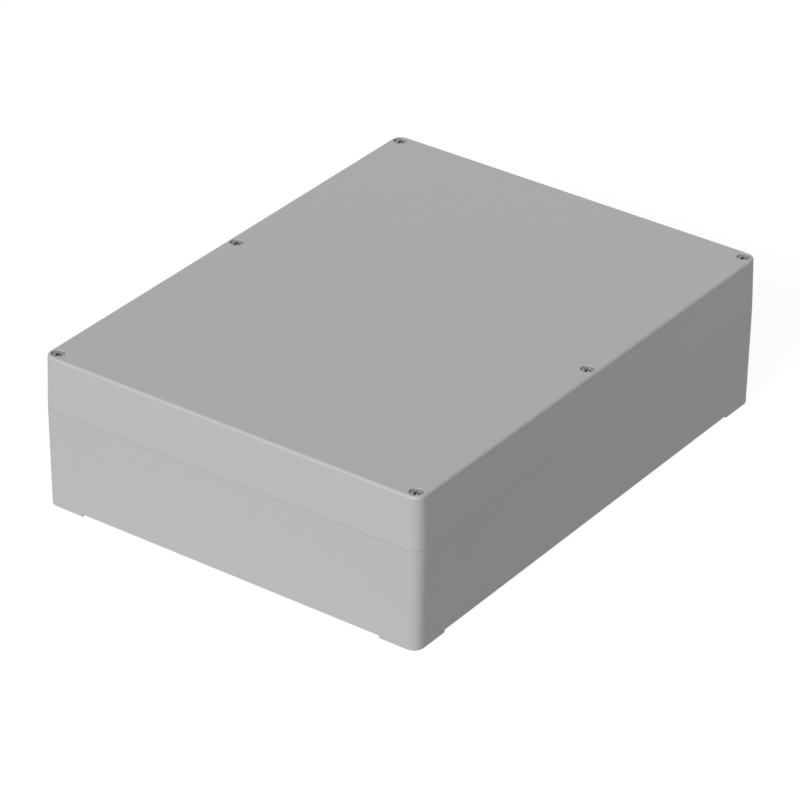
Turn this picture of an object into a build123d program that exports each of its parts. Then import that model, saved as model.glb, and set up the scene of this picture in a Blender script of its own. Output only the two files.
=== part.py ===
from build123d import *
import math
import os

# A closed, sealed polycarbonate enclosure: moulded base and lid, gasket, and six captive lid screws.
# The origin is the middle of the footprint, on the surface that the four feet stand on. X runs along
# the long side, Y along the short side and Z up. Sizes are in millimetres, drafts in degrees.

# Outside
length = 300.0  # both halves are widest beside the parting line
width = 230.0
height = 86.0
lid_height = 30.4
corner_radius = 6.5  # upright corners, on the widest outline
base_draft = 0.7  # inwards towards the feet
lid_draft = 1.4  # inwards towards the top
lid_edge_radius = 1.5
base_edge_radius = 0.2
lid_taper = 0.2  # of the lid's lower edge, so that the two halves make a fine line round the box
lid_taper_height = 1.0
rim_height = 1.0  # a band round the top of the base
rim_inset = 0.16  # from the widest outline

# Walls
wall = 4.0
floor_thickness = 3.0
top_thickness = 3.0
inside_radius = 1.5  # where the inside walls meet the floor and the top

# Seal: a tongue on the base presses a gasket in the lid's groove
tongue_width = 1.2
tongue_height = 2.0
tongue_chamfer = 0.25
tongue_clearance = 0.4  # on each side, between the tongue and the groove's walls
gasket_thickness = 1.2  # left between the tongue and the bottom of the groove
gasket_lip = 0.4  # how far the pressed gasket stands up beside the tongue
seal_turn_radius = 5.0

# Lid screws: one in each corner and one halfway along each long side
screw_inset_x = 6.25  # from the widest outline to a corner screw's axis
screw_inset_y = 6.0
screw_seal_distance = 6.5  # from a middle screw's axis to the middle of the seal
screw_recess_depth = 0.6  # from the lid's face to the screw's head
screw_recess_clearance = 0.3  # round the head
screw_recess_chamfer = 0.1
screw_hole_clearance = 0.25  # round the thread
head_diameter = 6.4
head_height = 2.6
head_edge = 0.35
thread_diameter = 4.0
thread_tip = 0.6
tip_reach = 0.1  # below the insert
waist_diameter = 3.0  # thinner than the thread, so that the ring keeps the screw in the lid

# Cross recess in a screw's head
cross_rim = 0.85  # from the end of an arm to the head's edge
cross_taper = 1.3  # how far each arm shortens on its way down
cross_arm_width = 1.0
cross_floor = 0.7  # solid left below the recess

# Retaining ring round each screw's waist
ring_diameter = 7.0
ring_thickness = 1.2
ring_clearance = 0.1  # round the waist
ring_edge = 0.2

# Threaded insert under each screw
insert_wall = 0.8  # outside the thread
insert_length = 8.0
insert_depth = 0.5  # from the parting line to the insert
insert_band = 3.0  # length of each of its two toothed bands
insert_tooth_depth = 0.3
insert_teeth = 18
insert_mouth_chamfer = 0.4
insert_end_room = 3.0  # below the insert, for the screw's tip
insert_end_clearance = 0.3  # round the screw's tip

# Holes for fixing the box to a wall, outside the seal and under the lid
mount_inset_x = 19.0  # from the widest outline to a hole's axis
mount_inset_y = 9.0
mount_hole_diameter = 4.5
mount_head_room = 9.5  # width of the bay over each hole
pillar_radius = 5.6  # from a corner screw's axis to the bay
bay_corner_radius = 2.0

# Feet, which hold the wall holes
foot_height = 1.5
foot_reach_x = 4.6  # from a wall hole's axis to the foot's inner edge
foot_reach_y = 14.0
foot_corner_radius = 3.0

# Bosses for circuit boards
boss_diameter = 7.0
boss_draft = 1.0
boss_hole_diameter = 2.9
boss_hole_end = 1.0  # left closed at the root
base_boss_height = 8.0
base_boss_inset_x = 25.0  # from the widest outline
base_boss_inset_y = 35.0
lid_boss_height = 6.0
lid_boss_inset_x = 50.0
lid_boss_inset_y = 45.0

# Places worked out from the sizes above
parting = height - lid_height
floor_top = foot_height + floor_thickness
ceiling = height - top_thickness
screw_x = length / 2 - screw_inset_x
screw_y = width / 2 - screw_inset_y
mount_x = length / 2 - mount_inset_x
mount_y = width / 2 - mount_inset_y
bay_near_x = mount_x - mount_head_room / 2
bay_near_y = mount_y - mount_head_room / 2
head_seat = height - screw_recess_depth - head_height
insert_top = parting - insert_depth
insert_bottom = insert_top - insert_length
insert_radius = thread_diameter / 2 + insert_wall
screw_tip = insert_bottom - tip_reach
groove_width = tongue_width + 2 * tongue_clearance
groove_depth = tongue_height + gasket_thickness
up = (0, 0, 1)
down = (0, 0, -1)
sides = (-1, 1)
corners = [(x_side, y_side) for x_side in sides for y_side in sides]
screw_rows = {"front": -screw_y, "rear": screw_y}
screw_columns = {"left": -screw_x, "middle": 0.0, "right": screw_x}
screw_places = {
    f"{row}_{column}": (x, y) for row, y in screw_rows.items() for column, x in screw_columns.items()
}

# The seal turns inwards beside each middle screw, and its turns have to fit in that notch
notch_depth = screw_inset_y + screw_seal_distance - wall / 2
turn_radius = min(seal_turn_radius, 0.49 * min(notch_depth, 2 * screw_seal_distance))


def outline(inset=0.0):
    """The box's widest outline, or one that lies inside it."""
    return RectangleRounded(length - 2 * inset, width - 2 * inset, corner_radius - inset)


def seal_area(inset):
    """The area inside a line beside the middle of the seal. It leaves out the bays and all screws."""
    end_x = length / 2 - wall / 2 - inset
    end_y = width / 2 - wall / 2 - inset
    bay_size_x = length / 2 - bay_near_x + wall / 2 + inset
    bay_size_y = width / 2 - bay_near_y + wall / 2 + inset
    notch_size_x = screw_seal_distance + inset
    notch_size_y = screw_inset_y + screw_seal_distance + inset
    area = Rectangle(2 * end_x, 2 * end_y)
    for x_side, y_side in corners:
        area -= Pos(x_side * length / 2, y_side * width / 2) * Rectangle(2 * bay_size_x, 2 * bay_size_y)
    for y_side in sides:
        area -= Pos(0, y_side * width / 2) * Rectangle(2 * notch_size_x, 2 * notch_size_y)

    inner_x = end_x - wall / 2
    inner_y = end_y - wall / 2
    inner_corners = [v for v in area.vertices() if abs(v.X) < inner_x and abs(v.Y) < inner_y]
    area = fillet(inner_corners, turn_radius + inset)
    outer_corners = [v for v in area.vertices() if abs(v.X) > inner_x or abs(v.Y) > inner_y]
    return fillet(outer_corners, turn_radius - inset)


def seal_band(band_width):
    """A band of even width along the middle of the seal."""
    return seal_area(-band_width / 2) - seal_area(band_width / 2)


def end_edges(shape, direction):
    """The edges at the far end of a shape."""
    levels = shape.edges().group_by(Axis.Z)
    return levels[-1] if direction == up else levels[0]


def leaning(plan, start, depth, direction, lean):
    """A plan drawn up or down from a height, with its sides leaning inwards by an angle."""
    start_plane = Plane.XY.offset(start)
    prism = extrude(start_plane * plan, amount=depth, dir=direction)
    prism_sides = [face for face in prism.faces() if abs(face.normal_at().Z) < 0.5]
    return draft(prism_sides, start_plane, direction[2] * lean)


def turned(*points):
    """A round piece about Z, from half of its section as (radius, height) points."""
    section = make_face(Polyline(*points, close=True))
    return revolve(Plane.XZ * section, axis=Axis.Z)


def at_screws(shape):
    return [Pos(*place) * shape for place in screw_places.values()]


def cavity(depth, direction, lean):
    """The inside of one half, from the parting plane to its floor or top."""
    space = leaning(seal_area(wall / 2), parting, depth, direction, lean)
    end_corner_radius = turn_radius - wall / 2 - depth * math.tan(math.radians(lean))
    return fillet(end_edges(space, direction), min(inside_radius, 0.9 * end_corner_radius))


def corner_bays(depth, direction, lean):
    """Bays outside the seal, each between a corner screw's pillar and the seal, over a wall hole."""
    size_x = screw_x - pillar_radius - bay_near_x
    size_y = width / 2 - wall - bay_near_y
    bay = leaning(RectangleRounded(size_x, size_y, bay_corner_radius), parting, depth, direction, lean)
    middle_x = bay_near_x + size_x / 2
    middle_y = bay_near_y + size_y / 2
    return [Pos(x_side * middle_x, y_side * middle_y) * bay for x_side, y_side in corners]


def bosses(root, direction, boss_height, inset_x, inset_y, columns):
    """Board bosses in two rows that stand on the floor or hang from the top, and their screw holes."""
    post = leaning(Circle(boss_diameter / 2), root, boss_height, direction, boss_draft)
    hole_root = Plane.XY.offset(root + direction[2] * boss_hole_end)
    hole_depth = boss_height - boss_hole_end
    hole = extrude(hole_root * Circle(boss_hole_diameter / 2), amount=hole_depth, dir=direction)
    step_x = (length - 2 * inset_x) / (columns - 1)
    places = GridLocations(step_x, width - 2 * inset_y, columns, 2).locations
    return [place * post for place in places], [place * hole for place in places]


def underside_recess():
    """The space under the base between its corner feet."""
    foot_length = mount_inset_x + foot_reach_x
    foot_width = mount_inset_y + foot_reach_y
    area = Rectangle(length - 2 * foot_length, width) + Rectangle(length, width - 2 * foot_width)
    foot_corners = [v for v in area.vertices() if abs(v.X) < length / 2 and abs(v.Y) < width / 2]
    return extrude(fillet(foot_corners, foot_corner_radius), amount=foot_height)


def insert_hole():
    """The stepped hole in the base for an insert, with room for the screw's tip below it."""
    end_radius = thread_diameter / 2 + insert_end_clearance
    hole_bottom = insert_bottom - insert_end_room
    return turned(
        (0, hole_bottom),
        (end_radius, hole_bottom),
        (end_radius, insert_bottom),
        (insert_radius, insert_bottom),
        (insert_radius, parting),
        (0, parting),
    )


def screw_passage():
    """The stepped hole through the lid: the ring's seat, the clearance hole and the head's recess."""
    ring_radius = ring_diameter / 2
    ring_top = parting + ring_thickness
    hole_radius = thread_diameter / 2 + screw_hole_clearance
    recess_radius = head_diameter / 2 + screw_recess_clearance
    return turned(
        (0, parting),
        (ring_radius, parting),
        (ring_radius, ring_top),
        (hole_radius, ring_top),
        (hole_radius, head_seat),
        (recess_radius, head_seat),
        (recess_radius, height - screw_recess_chamfer),
        (recess_radius + screw_recess_chamfer, height),
        (0, height),
    )


def make_base():
    rim_bottom = parting - rim_height
    body = leaning(outline(), rim_bottom, rim_bottom, down, base_draft)
    body = fillet(end_edges(body, down), base_edge_radius)
    body += leaning(outline(rim_inset), parting, rim_height, down, base_draft)
    body -= underside_recess()
    body -= cavity(parting - floor_top, down, base_draft)
    body -= corner_bays(parting - floor_top, down, base_draft)
    wall_hole = extrude(Circle(mount_hole_diameter / 2), amount=floor_top)
    body -= [Pos(x_side * mount_x, y_side * mount_y) * wall_hole for x_side, y_side in corners]
    body -= at_screws(insert_hole())

    tongue = extrude(Plane.XY.offset(parting) * seal_band(tongue_width), amount=tongue_height)
    body += chamfer(end_edges(tongue, up), tongue_chamfer)

    posts, holes = bosses(floor_top, up, base_boss_height, base_boss_inset_x, base_boss_inset_y, columns=3)
    body += posts
    body -= holes
    return body


def make_lid():
    widest = parting + lid_taper_height
    taper_lean = math.degrees(math.atan(lid_taper / lid_taper_height))
    body = leaning(outline(), widest, lid_height - lid_taper_height, up, lid_draft)
    body = fillet(end_edges(body, up), lid_edge_radius)
    body += leaning(outline(), widest, lid_taper_height, down, taper_lean)
    body -= cavity(ceiling - parting, up, lid_draft)
    body -= corner_bays(ceiling - parting, up, lid_draft)
    body -= extrude(Plane.XY.offset(parting) * seal_band(groove_width), amount=groove_depth)
    body -= at_screws(screw_passage())

    posts, holes = bosses(ceiling, down, lid_boss_height, lid_boss_inset_x, lid_boss_inset_y, columns=2)
    body += posts
    body -= holes
    return body


def make_gasket():
    """The pressed gasket: it fills the end of the groove and stands up on both sides of the tongue."""
    lip_start = Plane.XY.offset(parting + tongue_height - gasket_lip)
    strip = extrude(lip_start * seal_band(groove_width), amount=gasket_lip + gasket_thickness)
    imprint = extrude(lip_start * seal_band(tongue_width), amount=gasket_lip)
    return strip - imprint


def cross_recess():
    """Two crossed wings that shorten towards the bottom, with their mouth at height 0."""
    arm = head_diameter / 2 - cross_rim
    arm_end = arm - cross_taper
    depth = head_height - cross_floor
    wing_section = Polygon((-arm, 0), (arm, 0), (arm_end, -depth), (-arm_end, -depth), align=None)
    wing = extrude(Plane.XZ * wing_section, amount=cross_arm_width / 2, both=True)
    return wing + Rot(0, 0, 90) * wing


def make_screw():
    head_top = head_seat + head_height
    head_radius = head_diameter / 2
    waist_radius = waist_diameter / 2
    thread_radius = thread_diameter / 2
    body = turned(
        (0, head_top),
        (head_radius - head_edge, head_top),
        (head_radius, head_top - head_edge),
        (head_radius, head_seat),
        (waist_radius, head_seat),
        (waist_radius, parting),
        (thread_radius, insert_top),
        (thread_radius, screw_tip + thread_tip),
        (thread_radius - thread_tip, screw_tip),
        (0, screw_tip),
    )
    return body - Pos(0, 0, head_top) * cross_recess()


def make_ring():
    inner_radius = waist_diameter / 2 + ring_clearance
    outer_radius = ring_diameter / 2
    return turned(
        (inner_radius, parting),
        (outer_radius - ring_edge, parting),
        (outer_radius, parting + ring_edge),
        (outer_radius, parting + ring_thickness),
        (inner_radius, parting + ring_thickness),
    )


def toothed_band(start):
    """One band of the insert, with straight teeth that bite into the pillar."""
    points = []
    for step in range(2 * insert_teeth):
        angle = math.pi * step / insert_teeth
        radius = insert_radius - insert_tooth_depth * (step % 2)
        points.append((radius * math.cos(angle), radius * math.sin(angle)))
    return extrude(Plane.XY.offset(start) * Polygon(*points, align=None), amount=insert_band)


def make_insert():
    hole_radius = thread_diameter / 2
    middle = extrude(
        Plane.XY.offset(insert_bottom) * Circle(insert_radius - insert_tooth_depth), amount=insert_length
    )
    threaded_hole = turned(
        (0, insert_bottom),
        (hole_radius, insert_bottom),
        (hole_radius, insert_top - insert_mouth_chamfer),
        (hole_radius + insert_mouth_chamfer, insert_top),
        (0, insert_top),
    )
    return middle + toothed_band(insert_bottom) + toothed_band(insert_top - insert_band) - threaded_hole


pieces = {"base": make_base(), "lid": make_lid(), "lid_gasket": make_gasket()}
screw = make_screw()
ring = make_ring()
insert = make_insert()
for name, place in screw_places.items():
    pieces[f"lid_screw_{name}"] = Pos(*place) * screw
    pieces[f"screw_retaining_ring_{name}"] = Pos(*place) * ring
    pieces[f"threaded_insert_{name}"] = Pos(*place) * insert

os.makedirs("parts", exist_ok=True)
for name, shape in pieces.items():
    export_step(shape, f"parts/{name}.step")
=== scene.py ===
import bmesh
import bpy
import math
from mathutils import Matrix, Vector


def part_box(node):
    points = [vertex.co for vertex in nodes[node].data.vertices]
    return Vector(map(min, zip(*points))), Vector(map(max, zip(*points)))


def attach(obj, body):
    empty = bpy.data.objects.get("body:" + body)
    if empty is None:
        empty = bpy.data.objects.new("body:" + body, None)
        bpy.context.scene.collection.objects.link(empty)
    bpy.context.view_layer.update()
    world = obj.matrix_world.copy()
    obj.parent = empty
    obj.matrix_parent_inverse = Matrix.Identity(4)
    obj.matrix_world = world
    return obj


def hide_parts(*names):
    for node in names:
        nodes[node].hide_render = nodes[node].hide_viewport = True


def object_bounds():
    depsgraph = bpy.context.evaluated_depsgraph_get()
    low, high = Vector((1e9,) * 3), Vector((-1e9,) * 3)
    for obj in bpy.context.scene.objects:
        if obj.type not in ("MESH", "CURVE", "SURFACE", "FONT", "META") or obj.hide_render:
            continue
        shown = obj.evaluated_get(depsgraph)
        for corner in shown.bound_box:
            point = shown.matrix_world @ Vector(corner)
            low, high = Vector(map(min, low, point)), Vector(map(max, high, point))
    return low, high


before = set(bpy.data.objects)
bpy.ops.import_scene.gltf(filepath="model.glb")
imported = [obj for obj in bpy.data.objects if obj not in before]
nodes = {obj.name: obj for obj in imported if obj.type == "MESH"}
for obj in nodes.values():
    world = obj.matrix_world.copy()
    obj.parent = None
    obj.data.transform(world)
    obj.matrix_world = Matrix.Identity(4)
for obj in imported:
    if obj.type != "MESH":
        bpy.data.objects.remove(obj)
cadLow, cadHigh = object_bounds()
scene = bpy.context.scene

# Camera: a long lens that looks down over the front left corner

cameraView = {
    "azimuth": -54.288,  # degrees, from the long front side towards the left end
    "elevation": 30.423,
    "roll": 0.539,
    "distance": 2.26118,
    "offCentre": (-0.003555, -0.011310),  # right and up from a line through the box's middle
    "lens": 200.02,
    "sensor": 36.0,
    "reach": 50.0,
}


def aimed(view):  # the turn of something that looks down at the box
    turn = Matrix.Rotation(math.radians(view["azimuth"]), 3, "Z")
    tip = Matrix.Rotation(math.radians(90 - view["elevation"]), 3, "X")
    return turn @ tip


def makeCamera(view):
    aim = aimed(view) @ Matrix.Rotation(math.radians(view["roll"]), 3, "Z")
    middle = (cadLow + cadHigh) / 2
    place = middle + aim @ Vector((*view["offCentre"], view["distance"]))
    data = bpy.data.cameras.new("photoCamera")
    data.lens = view["lens"]
    data.sensor_width = view["sensor"]
    data.clip_end = view["reach"]
    camera = bpy.data.objects.new("photoCamera", data)
    camera.matrix_world = Matrix.Translation(place) @ aim.to_4x4()
    scene.collection.objects.link(camera)
    scene.camera = camera


makeCamera(cameraView)
print("camera set")


# Shader maths as plain expressions

class Wire:
    def __init__(self, tree, socket):
        self.tree = tree
        self.socket = socket

    def maths(self, operation, first, second):
        return self.tree.add("ShaderNodeMath", {"operation": operation}, {0: first, 1: second})

    def __add__(self, other):
        return self.maths("ADD", self, other)

    def __radd__(self, other):
        return self.maths("ADD", other, self)

    def __sub__(self, other):
        return self.maths("SUBTRACT", self, other)

    def __rsub__(self, other):
        return self.maths("SUBTRACT", other, self)

    def __mul__(self, other):
        return self.maths("MULTIPLY", self, other)

    def __rmul__(self, other):
        return self.maths("MULTIPLY", other, self)

    def output(self, name):  # another output of the same node
        return Wire(self.tree, self.socket.node.outputs[name])


class Tree:
    def __init__(self, nodeTree):
        self.nodeTree = nodeTree
        nodeTree.nodes.clear()

    def add(self, kind, settings=None, inputs=None, output=0):
        node = self.nodeTree.nodes.new(kind)
        for name, value in (settings or {}).items():
            setattr(node, name, value)
        for name, value in (inputs or {}).items():
            if isinstance(value, Wire):
                self.nodeTree.links.new(value.socket, node.inputs[name])
            else:
                node.inputs[name].default_value = value
        if len(node.outputs):
            return Wire(self, node.outputs[output])

    def place(self, centre=(0, 0, 0)):  # a point of the piece, measured from a centre
        point = self.add("ShaderNodeTexCoord", None, None, "Object")
        away = tuple(-value for value in centre)
        return self.add("ShaderNodeMapping", None, {"Vector": point, "Location": away})

    def parts(self, centre):  # X of that point, with Y and Z as the node's other outputs
        return self.add("ShaderNodeSeparateXYZ", None, {"Vector": self.place(centre)})

    def noise(self, vector, size, detail=2.0):
        return self.add("ShaderNodeTexNoise", None, {"Vector": vector, "Scale": 1 / size, "Detail": detail})

    def mix(self, share, first, second):
        inputs = {"Factor": share, "A": first, "B": second}
        return self.add("ShaderNodeMix", {"data_type": "RGBA"}, inputs, "Result")

    def spread(self, value, low, high):  # from 0 at low to 1 at high, with soft ends
        settings = {"interpolation_type": "SMOOTHSTEP"}
        return self.add("ShaderNodeMapRange", settings, {"Value": value, "From Min": low, "From Max": high})

    def bump(self, height, distance):
        return self.add("ShaderNodeBump", None, {"Height": height, "Distance": distance})

    def surface(self, inputs):
        shader = self.add("ShaderNodeBsdfPrincipled", None, inputs)
        self.add("ShaderNodeOutputMaterial", None, {"Surface": shader})


noiseMiddle = 0.5


def drifting(value, drift, noise):  # a value that the noise takes both up and down
    return value + drift * (noise - noiseMiddle)


def newMaterial(name):
    material = bpy.data.materials.new(name)
    material.use_nodes = True
    return material, Tree(material.node_tree)


def dress(piece, material):
    piece.data.materials.clear()
    piece.data.materials.append(material)


def addPiece(name, mesh):
    piece = bpy.data.objects.new(name, mesh)
    scene.collection.objects.link(piece)
    return piece


# Housing: light grey moulded polycarbonate with a very fine spark-eroded grain

housingLook = {
    "pale": (0.504, 0.504, 0.504, 1),
    "deep": (0.496, 0.496, 0.496, 1),
    "driftSize": 0.07,  # of the faint unevenness that the flow of the plastic leaves
    "driftDetail": 3.0,
    "grainSize": 0.0004,
    "grainHeight": 0.000012,
    "roughness": 0.48,
    "roughnessDrift": 0.06,
    "refraction": 1.58,
}


def housingMaterial(look):
    material, tree = newMaterial("polycarbonate")
    place = tree.place()
    drift = tree.noise(place, look["driftSize"], look["driftDetail"])
    grain = tree.noise(place, look["grainSize"])
    tree.surface({
        "Base Color": tree.mix(drift, look["deep"], look["pale"]),
        "Roughness": drifting(look["roughness"], look["roughnessDrift"], drift),
        "Normal": tree.bump(grain, look["grainHeight"]),
        "IOR": look["refraction"],
    })
    return material


housing = housingMaterial(housingLook)
dress(nodes["base"], housing)
dress(nodes["lid"], housing)
print("housing dressed")

# Lid screws: turned heads with a tapered cross recess, waists, and rolled threads

millimetre = 0.001  # in metres
screwShape = {  # lengths in millimetres, angles in degrees
    "headRadius": 3.2,
    "headHeight": 2.6,
    "headEdge": 0.35,
    "headEdgeRows": 6,
    "seatEdgeShare": 1 / 3,  # of the head's edge, for the smaller edge under the head
    "waistRadius": 1.5,
    "neckTop": 8.6,  # above the tip, where the thread has run out into the waist
    "threadTop": 8.1,
    "threadRadius": 1.99,
    "threadDepth": 0.43,
    "pitch": 0.7,
    "crestShare": 0.125,  # of the pitch that is flat on the crest
    "rootShare": 0.25,
    "rowsInPitch": 8,
    "tipChamfer": 0.6,
    "armLength": 2.35,
    "armWidth": 1.0,
    "armTaper": 1.3,  # how far an arm shortens on its way down
    "recessDepth": 1.9,
    "rimSoftness": 0.07,
    "rimMiddle": 0.3,  # of its softness, where the rounded rim is halfway round
    "eighthTurn": (0.0, 3.5, 7.0, 10.0, 12.5, 15.0, 19.0, 25.0, 31.0, 38.0),  # closest round an arm's corner
    "sharpAngle": 35,
}
screwLook = {
    "steel": (0.27, 0.268, 0.252, 1),
    "paintedShade": (0.24, 0.24, 0.22, 1),  # painted shade: a darker grey low in the cross recess, standing in for its shadow
    "paintedShadeTop": -0.00005,  # from the head's top
    "paintedShadeBottom": -0.0005,
    "roughness": 0.34,
    "roughnessDrift": 0.12,
    "markSize": 0.00012,  # of the lathe's marks
    "markHeight": 0.000004,
}
leastSlope = 1e-9  # keeps the cross's divisions finite on its axes


def ringAngles(eighthTurn):
    quarter = list(eighthTurn) + [45.0] + [90.0 - angle for angle in reversed(eighthTurn[1:])]
    return [math.radians(angle + 90.0 * step) for step in range(4) for angle in quarter]


# Each row of a screw is a height and a function from an angle to a radius

def roundRow(height, radius):
    return height, lambda angle: radius


def threadRow(shape, tip, fromTip, cap):
    def radius(angle):
        turn = fromTip / shape["pitch"] - angle / (2 * math.pi)
        fromCrest = 2 * abs(turn % 1.0 - 0.5)  # 0 in the middle of the crest, 1 in that of the root
        flank = 1 - shape["crestShare"] - shape["rootShare"]
        down = min(max((fromCrest - shape["crestShare"]) / flank, 0.0), 1.0)
        return min(cap, shape["threadRadius"] - shape["threadDepth"] * down)

    return tip + fromTip, radius


def crossRow(height, length, halfWidth):
    def radius(angle):
        along = max(abs(math.cos(angle)), leastSlope)
        across = max(abs(math.sin(angle)), leastSlope)
        return max(min(length / along, halfWidth / across), min(length / across, halfWidth / along))

    return height, radius


def threadRows(shape, tip):
    tipRadius = shape["threadRadius"] - shape["tipChamfer"]
    root = shape["threadRadius"] - shape["threadDepth"]
    step = shape["pitch"] / shape["rowsInPitch"]
    rows = [roundRow(tip, tipRadius)]
    for index in range(1, round(shape["threadTop"] / step) + 1):
        fromTip = index * step
        fromEnd = shape["threadTop"] - fromTip
        runOut = root + shape["threadDepth"] * min(fromEnd / shape["pitch"], 1.0)
        rows.append(threadRow(shape, tip, fromTip, min(tipRadius + fromTip, runOut)))
    return rows


def headRows(shape, top):
    seat = top - shape["headHeight"]
    edge = shape["headEdge"]
    seatEdge = edge * shape["seatEdgeShare"]
    rows = [
        roundRow(seat, shape["waistRadius"]),
        roundRow(seat, shape["headRadius"] - seatEdge),
        roundRow(seat + seatEdge, shape["headRadius"]),
    ]
    for index in range(shape["headEdgeRows"] + 1):
        turn = math.pi / 2 * index / shape["headEdgeRows"]
        height = top - edge * (1 - math.sin(turn))
        rows.append(roundRow(height, shape["headRadius"] - edge * (1 - math.cos(turn))))
    return rows


def recessRows(shape, top):
    soft = shape["rimSoftness"]
    middle = soft * shape["rimMiddle"]
    bottom = shape["recessDepth"]
    rows = []
    for depth, spread in (
        (0, soft), (middle, middle), (soft, 0), (bottom / 2, 0), (bottom - soft, 0), (bottom, -soft),
    ):
        length = shape["armLength"] - shape["armTaper"] * depth / bottom + spread
        rows.append(crossRow(top - depth, length, shape["armWidth"] / 2 + spread))
    return rows


def screwRows(shape, tip, top):
    neck = roundRow(tip + shape["neckTop"], shape["waistRadius"])
    return threadRows(shape, tip) + [neck] + headRows(shape, top) + recessRows(shape, top)


def turnedMesh(name, shape, rows, centre):
    angles = ringAngles(shape["eighthTurn"])
    bm = bmesh.new()
    ring = bmesh.ops.create_circle(bm, segments=len(angles), radius=1.0)["verts"]
    ring.sort(key=lambda corner: math.atan2(corner.co.y, corner.co.x) % (2 * math.pi))
    edges = list(bm.edges)
    for corner, angle in zip(ring, angles):
        corner.co = (math.cos(angle), math.sin(angle), 0)
    for index, (height, radius) in enumerate(rows):
        if index:
            grown = bmesh.ops.extrude_edge_only(bm, edges=edges)["geom"]
            ring = [item for item in grown if isinstance(item, bmesh.types.BMVert)]
            edges = [item for item in grown if isinstance(item, bmesh.types.BMEdge)]
        for corner in ring:
            angle = math.atan2(corner.co.y, corner.co.x)
            reach = radius(angle)
            corner.co = (reach * math.cos(angle), reach * math.sin(angle), height)
    bmesh.ops.holes_fill(bm, edges=bm.edges, sides=0)
    bmesh.ops.recalc_face_normals(bm, faces=bm.faces)
    bmesh.ops.scale(bm, verts=bm.verts, vec=(millimetre, millimetre, millimetre))
    bmesh.ops.translate(bm, verts=bm.verts, vec=(centre.x, centre.y, 0))
    mesh = bpy.data.meshes.new(name)
    bm.to_mesh(mesh)
    bm.free()
    mesh.shade_smooth()
    mesh.set_sharp_from_angle(angle=math.radians(shape["sharpAngle"]))
    return mesh


def latheMarks(tree, parts, size):  # rings round the axis that the parts are measured from
    flat = tree.add("ShaderNodeCombineXYZ", None, {"X": parts, "Y": parts.output("Y")})
    fromAxis = tree.add("ShaderNodeVectorMath", {"operation": "LENGTH"}, {0: flat}, "Value")
    section = tree.add("ShaderNodeCombineXYZ", None, {"X": fromAxis, "Y": parts.output("Z")})
    return tree.noise(section, size)


def screwMaterial(look, node, headTop):
    material, tree = newMaterial("steel_" + node)
    parts = tree.parts(headTop)
    marks = latheMarks(tree, parts, look["markSize"])
    # painted shade: below the head's top the steel turns to the darker grey, down into the cross recess
    paintedShade = tree.spread(parts.output("Z"), look["paintedShadeBottom"], look["paintedShadeTop"])
    tree.surface({
        "Base Color": tree.mix(paintedShade, look["paintedShade"], look["steel"]),
        "Metallic": 1.0,
        "Roughness": drifting(look["roughness"], look["roughnessDrift"], marks),
        "Normal": tree.bump(marks, look["markHeight"]),
    })
    return material


def topMiddle(node):
    low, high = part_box(node)
    middle = (Vector(low) + Vector(high)) / 2
    return Vector((middle.x, middle.y, high[2]))


def makeScrew(node):
    low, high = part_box(node)
    headTop = topMiddle(node)
    name = node + "_turned"
    rows = screwRows(screwShape, low[2] / millimetre, high[2] / millimetre)
    screw = addPiece(name, turnedMesh(name, screwShape, rows, headTop))
    dress(screw, screwMaterial(screwLook, node, headTop))
    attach(screw, "root")
    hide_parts(node)


screwNodes = sorted(name for name in nodes if name.startswith("lid_screw_"))
for screwNode in screwNodes:
    makeScrew(screwNode)
print("screws made:", len(screwNodes))

# Inner pieces: brass inserts, nylon rings and the gasket

insertLook = {
    "brass": (0.75, 0.58, 0.30, 1),
    "worn": (0.62, 0.45, 0.21, 1),
    "roughness": 0.28,
    "roughnessDrift": 0.15,
    "markSize": 0.0002,
    "markHeight": 0.000005,
}
ringLook = {
    "milky": (0.80, 0.79, 0.74, 1),
    "deep": (0.74, 0.73, 0.67, 1),
    "roughness": 0.4,
    "roughnessDrift": 0.1,
    "grainSize": 0.0006,
}
gasketLook = {
    "dark": (0.05, 0.05, 0.05, 1),
    "pale": (0.075, 0.075, 0.072, 1),
    "roughness": 0.62,
    "roughnessDrift": 0.15,
    "grainSize": 0.0007,
    "grainDetail": 4.0,
    "grainHeight": 0.00002,
}


def insertMaterial(look, node):
    material, tree = newMaterial("brass_" + node)
    marks = latheMarks(tree, tree.parts(topMiddle(node)), look["markSize"])
    tree.surface({
        "Base Color": tree.mix(marks, look["worn"], look["brass"]),
        "Metallic": 1.0,
        "Roughness": drifting(look["roughness"], look["roughnessDrift"], marks),
        "Normal": tree.bump(marks, look["markHeight"]),
    })
    return material


def ringMaterial(look):
    material, tree = newMaterial("nylon")
    grain = tree.noise(tree.place(), look["grainSize"])
    tree.surface({
        "Base Color": tree.mix(grain, look["deep"], look["milky"]),
        "Roughness": drifting(look["roughness"], look["roughnessDrift"], grain),
    })
    return material


def gasketMaterial(look):
    material, tree = newMaterial("elastomer")
    grain = tree.noise(tree.place(), look["grainSize"], look["grainDetail"])
    tree.surface({
        "Base Color": tree.mix(grain, look["dark"], look["pale"]),
        "Roughness": drifting(look["roughness"], look["roughnessDrift"], grain),
        "Normal": tree.bump(grain, look["grainHeight"]),
    })
    return material


nylon = ringMaterial(ringLook)
for name in nodes:
    if name.startswith("threaded_insert_"):
        dress(nodes[name], insertMaterial(insertLook, name))
    elif name.startswith("screw_retaining_ring_"):
        dress(nodes[name], nylon)
dress(nodes["lid_gasket"], gasketMaterial(gasketLook))
print("inner pieces dressed")

# Floor and background. The camera, mirrors and glass see white, and other rays a plain grey.

stageLook = {
    "floorSize": 14.0,
    "floorDrop": 0.00005,  # keeps the floor out of the plane of the feet's undersides
    "floorColour": (0.34, 0.34, 0.34, 1),
    "shadowShare": 0.1,  # how much of the floor's white depends on the light that falls on it
    "floorGlow": 0.94,
    "lightColour": (1, 1, 1, 1),
    "ambient": 0.241,
}


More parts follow.
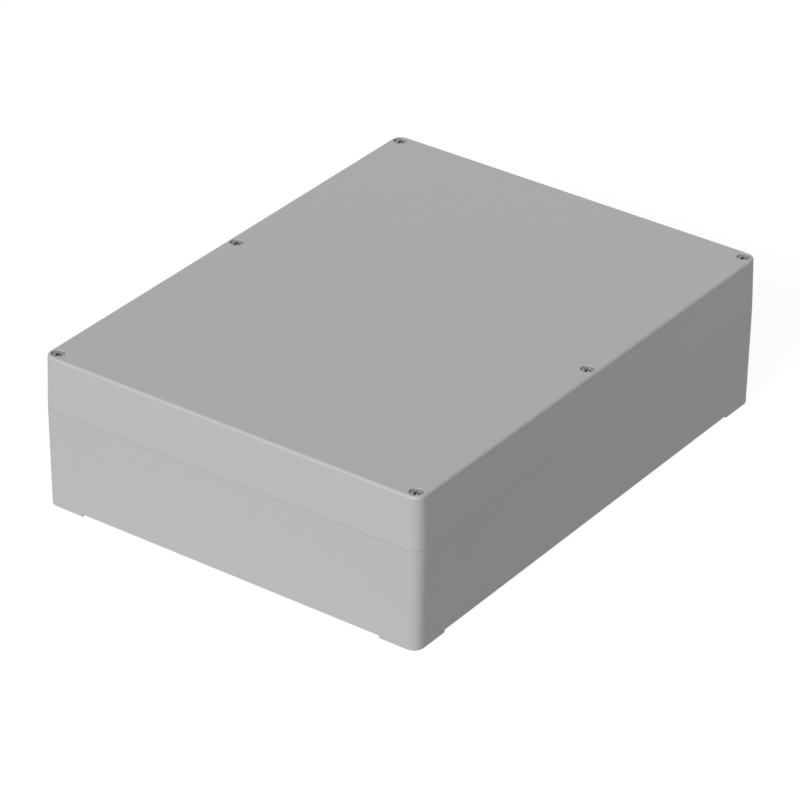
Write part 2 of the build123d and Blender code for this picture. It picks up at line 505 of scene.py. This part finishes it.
def seenDirectly(tree):
    path = tree.add("ShaderNodeLightPath", None, None, "Is Camera Ray")
    seen = path + path.output("Is Glossy Ray") + path.output("Is Transmission Ray")
    seen.socket.node.use_clamp = True
    return seen


def floorMaterial(look):
    material, tree = newMaterial("floor")
    material.cycles.emission_sampling = "NONE"  # sampled as a lamp, it would ignore Light Path
    share = look["shadowShare"]
    lit = tree.add("ShaderNodeBsdfDiffuse", None, {"Color": look["floorColour"]})
    shadowed = tree.add("ShaderNodeBsdfDiffuse", None, {"Color": (share, share, share, 1)})
    glow = tree.add("ShaderNodeEmission", None, {"Strength": look["floorGlow"]})
    white = tree.add("ShaderNodeAddShader", None, {0: shadowed, 1: glow})
    fromAbove = tree.add("ShaderNodeMixShader", None, {0: seenDirectly(tree), 1: lit, 2: white})
    isBelow = tree.add("ShaderNodeNewGeometry", None, None, "Backfacing")
    clear = tree.add("ShaderNodeBsdfTransparent")
    whole = tree.add("ShaderNodeMixShader", None, {0: isBelow, 1: fromAbove, 2: clear})
    tree.add("ShaderNodeOutputMaterial", None, {"Surface": whole})
    return material


def makeFloor(look):
    bm = bmesh.new()
    bmesh.ops.create_grid(bm, x_segments=1, y_segments=1, size=look["floorSize"] / 2)
    bmesh.ops.translate(bm, verts=bm.verts, vec=(0, 0, -look["floorDrop"]))
    mesh = bpy.data.meshes.new("floor")
    bm.to_mesh(mesh)
    bm.free()
    floor = addPiece("floor", mesh)
    dress(floor, floorMaterial(look))


def makeWorld(look):
    world = bpy.data.worlds.new("studio")
    world.use_nodes = True
    world.cycles.sampling_method = "NONE"  # for the same reason as the floor
    scene.world = world
    tree = Tree(world.node_tree)
    colour = look["lightColour"]
    ambient = tree.add("ShaderNodeBackground", None, {"Color": colour, "Strength": look["ambient"]})
    white = tree.add("ShaderNodeBackground", None, {"Color": colour, "Strength": 1.0})
    mixed = tree.add("ShaderNodeMixShader", None, {0: seenDirectly(tree), 1: ambient, 2: white})
    tree.add("ShaderNodeOutputWorld", None, {"Surface": mixed})


makeFloor(stageLook)
makeWorld(stageLook)

# Key light: a broad soft lamp beyond the left end

keyLight = {
    "azimuth": -84.0,  # degrees, from the same side as the camera's
    "elevation": 33.0,
    "strength": 2.5,
    "spread": 20.0,
}


def makeKeyLight(lamp):
    data = bpy.data.lights.new("keyLight", "SUN")
    data.energy = lamp["strength"]
    data.angle = math.radians(lamp["spread"])
    light = bpy.data.objects.new("keyLight", data)
    light.matrix_world = aimed(lamp).to_4x4()
    scene.collection.objects.link(light)


makeKeyLight(keyLight)
scene.view_settings.view_transform = "Standard"
print("stage lit")
